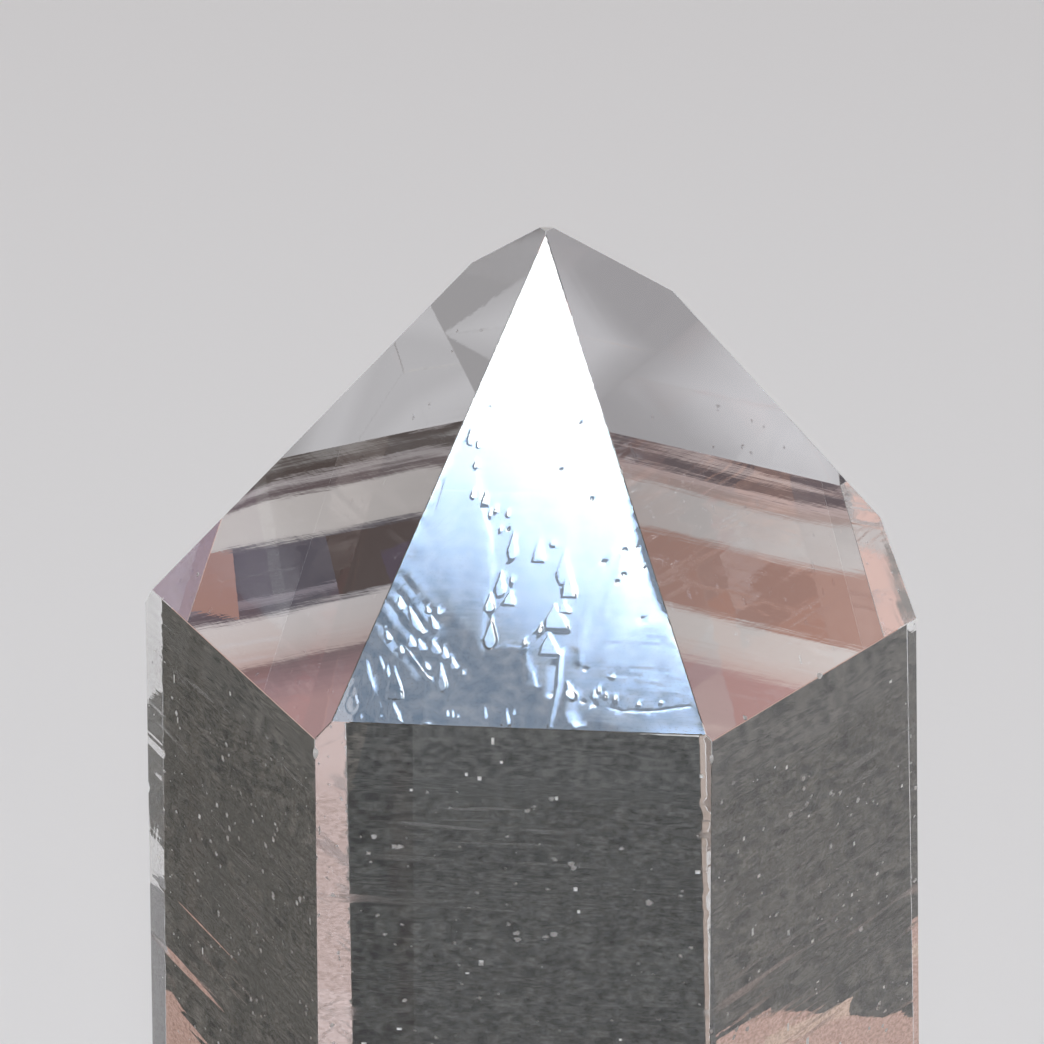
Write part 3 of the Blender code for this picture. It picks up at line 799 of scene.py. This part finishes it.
# how much brighter it gets in a metre across and up, and how bright it is in its aim
SKY_ACROSS = 6.6
SKY_UP = 16.1
SKY_IN_AIM = 2.22
sky_at_corner = SKY_IN_AIM - SKY_UP * SOFTBOX_DROP - 0.5 * (SKY_ACROSS + SKY_UP) * SOFTBOX_SIZE
softbox = card(
    "softbox",
    facing(SOFTBOX_BEARING, SOFTBOX_HEIGHT, 1.0) @ Matrix.Translation((0, -SOFTBOX_DROP, 0)),
    SOFTBOX_SIZE, SOFTBOX_SIZE,
    [(at / BRIGHTEST, [part / BRIGHTEST for part in color]) for at, color in SKY],
    slope_of_tone(SKY_ACROSS * SOFTBOX_SIZE / BRIGHTEST, SKY_UP * SOFTBOX_SIZE / BRIGHTEST,
                  sky_at_corner / BRIGHTEST),
    BRIGHTEST / MIRROR_SHARE)
softbox.visible_transmission = False
surround = card("softbox_surround", facing(SOFTBOX_BEARING, SOFTBOX_HEIGHT, 1.02), 1.0, 1.0,
                [(0, SKY[0][1])], power=1 / MIRROR_SHARE)
hide_but_in_mirrors(surround)
overhead = card("overhead", Matrix.Translation((0, 0.3, 1.5)) @ Matrix.Rotation(math.pi, 4, "X"),
                1.2, 1.2, [(0, (1, 1, 1))], power=1.6)
overhead.visible_transmission = False


def on_table(x, y, up):
    """A level place over the table, in mm."""
    return Matrix.Translation((x * MM, y * MM, up * MM))


def hide_but_through(made):
    """Only light that comes through the crystal finds it, so that the table stays plain."""
    made.visible_diffuse = False
    made.visible_glossy = False
    made.visible_shadow = False


def dark_grain(tree):
    """The blotches of dark stone."""
    return grain_of(tree, (1300, 1300, 1300), 5.0).outputs["Fac"]


PINK = (0.38, 0.22, 0.225)
FLESH = (0.50, 0.32, 0.27)
BROWN = (0.32, 0.175, 0.14)
CREAM = (0.58, 0.56, 0.55)
LIGHT = (0.47, 0.45, 0.445)
BLUSH = (0.43, 0.34, 0.33)
DUSK = (0.055, 0.04, 0.05)
MAUVE = (0.12, 0.075, 0.09)
SLATE = (0.022, 0.028, 0.055)
# bands behind the crystal: how far behind its axis each tone lies, in mm
BAND_FROM, BAND_DEPTH, BAND_WIDTH = 10.0, 35.0, 65.0
BANDS_LEFT = (
    (10.0, FLESH), (24.5, PINK), (25.9, PINK), (26.3, (0.55, 0.46, 0.44)), (27.2, CREAM),
    (28.25, CREAM), (28.55, BROWN), (29.6, BROWN), (31.75, BROWN), (32.15, LIGHT), (34.05, LIGHT),
    (34.25, (0.33, 0.25, 0.23)), (34.5, (0.33, 0.25, 0.23)), (34.65, BLUSH), (34.9, BLUSH),
    (35.1, DUSK), (35.6, DUSK), (35.8, BLUSH), (36.2, LIGHT))
BANDS_RIGHT = (
    (10.0, PINK), (28.6, PINK), (29.4, (0.26, 0.15, 0.17)), (30.45, MAUVE), (30.65, BLUSH),
    (31.6, (0.50, 0.46, 0.46)), (32.6, (0.52, 0.50, 0.51)), (32.85, SLATE), (33.15, SLATE),
    (33.3, (0.16, 0.15, 0.19)), (33.55, (0.16, 0.15, 0.19)), (33.65, SLATE), (35.8, SLATE),
    (36.0, LIGHT), (37.9, LIGHT), (38.1, DUSK), (38.35, DUSK), (38.55, (0.32, 0.30, 0.31)),
    (38.8, (0.32, 0.30, 0.31)), (38.95, (0.015, 0.012, 0.012)), (39.35, (0.015, 0.012, 0.012)),
    (39.55, (0.18, 0.18, 0.18)))
# each side's bands tilt, and dim outward, from the distance at which they are listed and full
DIM_PER_MM = 0.8 / 30
for name, side, bands, tilt, listed_at in (
        ("bands_left", -1, BANDS_LEFT, 0.033, 35), ("bands_right", 1, BANDS_RIGHT, 0.06, 24)):
    left_edge = min(side * BAND_WIDTH, 0)
    tilted = slope_of_tone(-tilt * BAND_WIDTH / BAND_DEPTH, 1,
                           tilt * (side * listed_at - left_edge) / BAND_DEPTH)
    dimmed = slope_of_tone(-side * DIM_PER_MM * BAND_WIDTH, 0,
                           1 - DIM_PER_MM * (abs(left_edge) - listed_at))
    hide_but_through(card(
        name, on_table(side * BAND_WIDTH / 2, BAND_FROM + BAND_DEPTH / 2, -0.2),
        BAND_WIDTH * MM, BAND_DEPTH * MM,
        [((behind - BAND_FROM) / BAND_DEPTH, color) for behind, color in bands], tilted, dimmed))

# cards on the table: middle and size in mm, turn in degrees, height in mm and colour
PATCHES = (
    ("brown_end", 28.3, 34.5, 9.6, 2.9, 3, -0.19, (0.012, 0.004, 0.006)),
    ("violet", 30.5, 34.2, 6.8, 2.1, 12, -0.185, (0.016, 0.008, 0.040)),
    ("ember", 13.2, 34.3, 6.9, 3.0, -8, -0.19, (0.33, 0.185, 0.165)),
    ("mauve", 14.1, -21.0, 8.0, 9.0, 0, -0.18, (0.34, 0.27, 0.37)),
    ("palm_left", -49.0, 50.2, 25.0, 16.0, 0, -0.18, FLESH),
    ("palm_left_side", -62.5, 50.0, 11.0, 12.6, -42, -0.175, FLESH),
    ("finger", -57.2, 57.0, 6.0, 2.0, 38, -0.17, (0.58, 0.42, 0.34)),
    ("palm_right", 34.3, 54.0, 18.0, 24.0, 0, -0.18, FLESH),
    ("pink_left", 15.5, 18.2, 30.0, 8.0, 21.7, -0.12, (0.58, 0.45, 0.43)),
    ("pink_right", -69.0, -34.0, 46.0, 12.0, 33, -0.18, (0.47, 0.39, 0.35)),
    ("pink_far", 58.0, -38.5, 20.0, 14.0, 0, -0.18, (0.30, 0.25, 0.23)),
    ("front_dark", 24.5, -22.0, 11.0, 14.0, 0, -0.18, (0.20, 0.19, 0.19)),
    ("far_right", 124.0, -80.0, 52.0, 52.0, 0, -0.18, (0.24, 0.21, 0.20)),
    ("left_end", 62.0, 39.0, 24.0, 9.0, 20, -0.18, (0.20, 0.20, 0.21)),
)
for name, x, y, width, depth, turn, up, color in PATCHES:
    place = on_table(x, y, up) @ Matrix.Rotation(math.radians(turn), 4, "Z")
    hide_but_through(card(name, place, width * MM, depth * MM, [(0, color)]))
STONE = [(0.36, (0.012, 0.012, 0.010)), (0.68, (0.125, 0.115, 0.102))]
STONE_MIDDLE = [(0.36, (0.008, 0.009, 0.009)), (0.68, (0.080, 0.083, 0.080))]
hide_but_through(card("dark_stone", on_table(0, 88, -0.22), 0.20, 0.086, STONE, dark_grain))
hide_but_through(card(
    "dark_stone_middle", on_table(-7, 108, -0.21), 0.028, 0.046, STONE_MIDDLE, dark_grain))

# under the foot: its grey by how far to the right of the axis, in mm, turned a little
UNDER = ((-18, 0.58), (-15.5, 0.60), (-13, 0.50), (-10.7, 0.36), (-8, 0.32), (11, 0.34),
         (11.8, 0.38), (13.2, 0.50), (14.4, 0.52), (15.6, 0.46), (18, 0.48))
UNDER_WIDTH, UNDER_DEPTH, UNDER_TURN = 36, 33.5, 0.2
grays = [((x + UNDER_WIDTH / 2) / UNDER_WIDTH, (gray, 1.01 * gray, 1.05 * gray)) for x, gray in UNDER]
hide_but_through(card(
    "under", on_table(0, 0, -0.14), UNDER_WIDTH * MM, UNDER_DEPTH * MM, grays,
    slope_of_tone(1, -UNDER_TURN * UNDER_DEPTH / UNDER_WIDTH,
                  UNDER_TURN / 2 * UNDER_DEPTH / UNDER_WIDTH)))
hide_but_through(card(
    "under_dark", on_table(-3.4, 9.0, -0.13), 0.013, 0.013,
    [(0, (0.32, 0.323, 0.336)), (1, (0.05, 0.055, 0.065))], slope_of_tone(9.07, -4.2, 0.2)))
dark_left = card("dark_left", on_table(-105, 72, -0.16), 0.09, 0.08, [(0, (0.17, 0.165, 0.155))])
hide_but_in_mirrors(dark_left)

# round the crystal: bearing, height and distance, size in metres, colour, and whether only light
# that comes through the crystal finds it
WALLS = (
    ("back_wall", -152, 24, 1.2, 1.75, 0.46, (0.38, 0.25, 0.21), False),
    ("peach", -144, 27, 1.15, 0.40, 0.34, (0.74, 0.53, 0.48), True),
    ("pale_high", 136, 57, 1.15, 0.30, 0.30, (0.62, 0.56, 0.54), True),
    ("pale_back", 177, 55, 1.15, 0.30, 0.30, (0.60, 0.54, 0.52), True),
    ("pale_left", -122, 53, 1.15, 0.24, 0.24, (0.66, 0.62, 0.61), True),
    ("pink_low", 112, 34, 1.12, 0.30, 0.20, (0.66, 0.53, 0.52), True),
    ("cream_wall", -70, 22, 1.2, 1.50, 0.34, (0.60, 0.57, 0.52), False),
    ("warm_left", -64, 60, 1.2, 0.36, 0.36, (0.92, 0.62, 0.50), False),
    ("warm_right", 98, 27, 1.2, 1.81, 0.31, (0.46, 0.26, 0.25), False),
    ("warm_right_high", 110, 41, 1.15, 0.50, 0.25, (0.66, 0.53, 0.52), False),
)
for name, bearing, height, distance, width, depth, color, only_through in WALLS:
    wall = card(name, facing(bearing, height, distance), width, depth, [(0, color)])
    if only_through:
        hide_but_through(wall)

front_light = bpy.data.lights.new("front_light", "AREA")
front_light.size = 0.2
front_light.energy = 30.0 * math.pi * front_light.size ** 2
front_lamp = bpy.data.objects.new("front_light", front_light)
front_lamp.matrix_world = facing(4.6, 27, 1.2)
front_lamp.visible_camera = False
front_lamp.visible_transmission = False
bpy.context.collection.objects.link(front_lamp)

# an even white world fills the shadows, and light may turn often inside the crystal
WORLD_LIGHT = 0.24
BOUNCES = 32
world = bpy.data.worlds.new("studio")
world.use_nodes = True
world.node_tree.nodes["Background"].inputs["Color"].default_value = (1, 1, 1, 1)
world.node_tree.nodes["Background"].inputs["Strength"].default_value = WORLD_LIGHT
scene = bpy.context.scene
scene.world = world
scene.view_settings.view_transform = "Standard"
scene.cycles.max_bounces = BOUNCES
scene.cycles.transmission_bounces = BOUNCES
scene.cycles.glossy_bounces = BOUNCES
scene.cycles.sample_clamp_indirect = 8

# ==== The camera ================================================================================
# Close in on the point with a long lens, from a little above the shoulder and a little to the
# right of the front. It is aimed at a spot inside the point, and turned a little on its own axis.
AIM = Vector((-0.35, 1.41, 63.7)) * MM + to_middle
VIEW_BEARING = 4.61
VIEW_HEIGHT = 21.04
VIEW_DISTANCE = 215.8
VIEW_ROLL = 0.21
VIEW_ANGLE = 11.45
camera_data = bpy.data.cameras.new("camera")
camera_data.angle = math.radians(VIEW_ANGLE)
camera_data.clip_start = 0.01
camera = bpy.data.objects.new("camera", camera_data)
view_from = toward(VIEW_BEARING, VIEW_HEIGHT)
roll = Matrix.Rotation(math.radians(VIEW_ROLL), 4, "Z")
turn = view_from.to_track_quat("Z", "Y").to_matrix().to_4x4() @ roll
camera.matrix_world = Matrix.Translation(AIM + view_from * VIEW_DISTANCE * MM) @ turn
bpy.context.collection.objects.link(camera)
scene.camera = camera
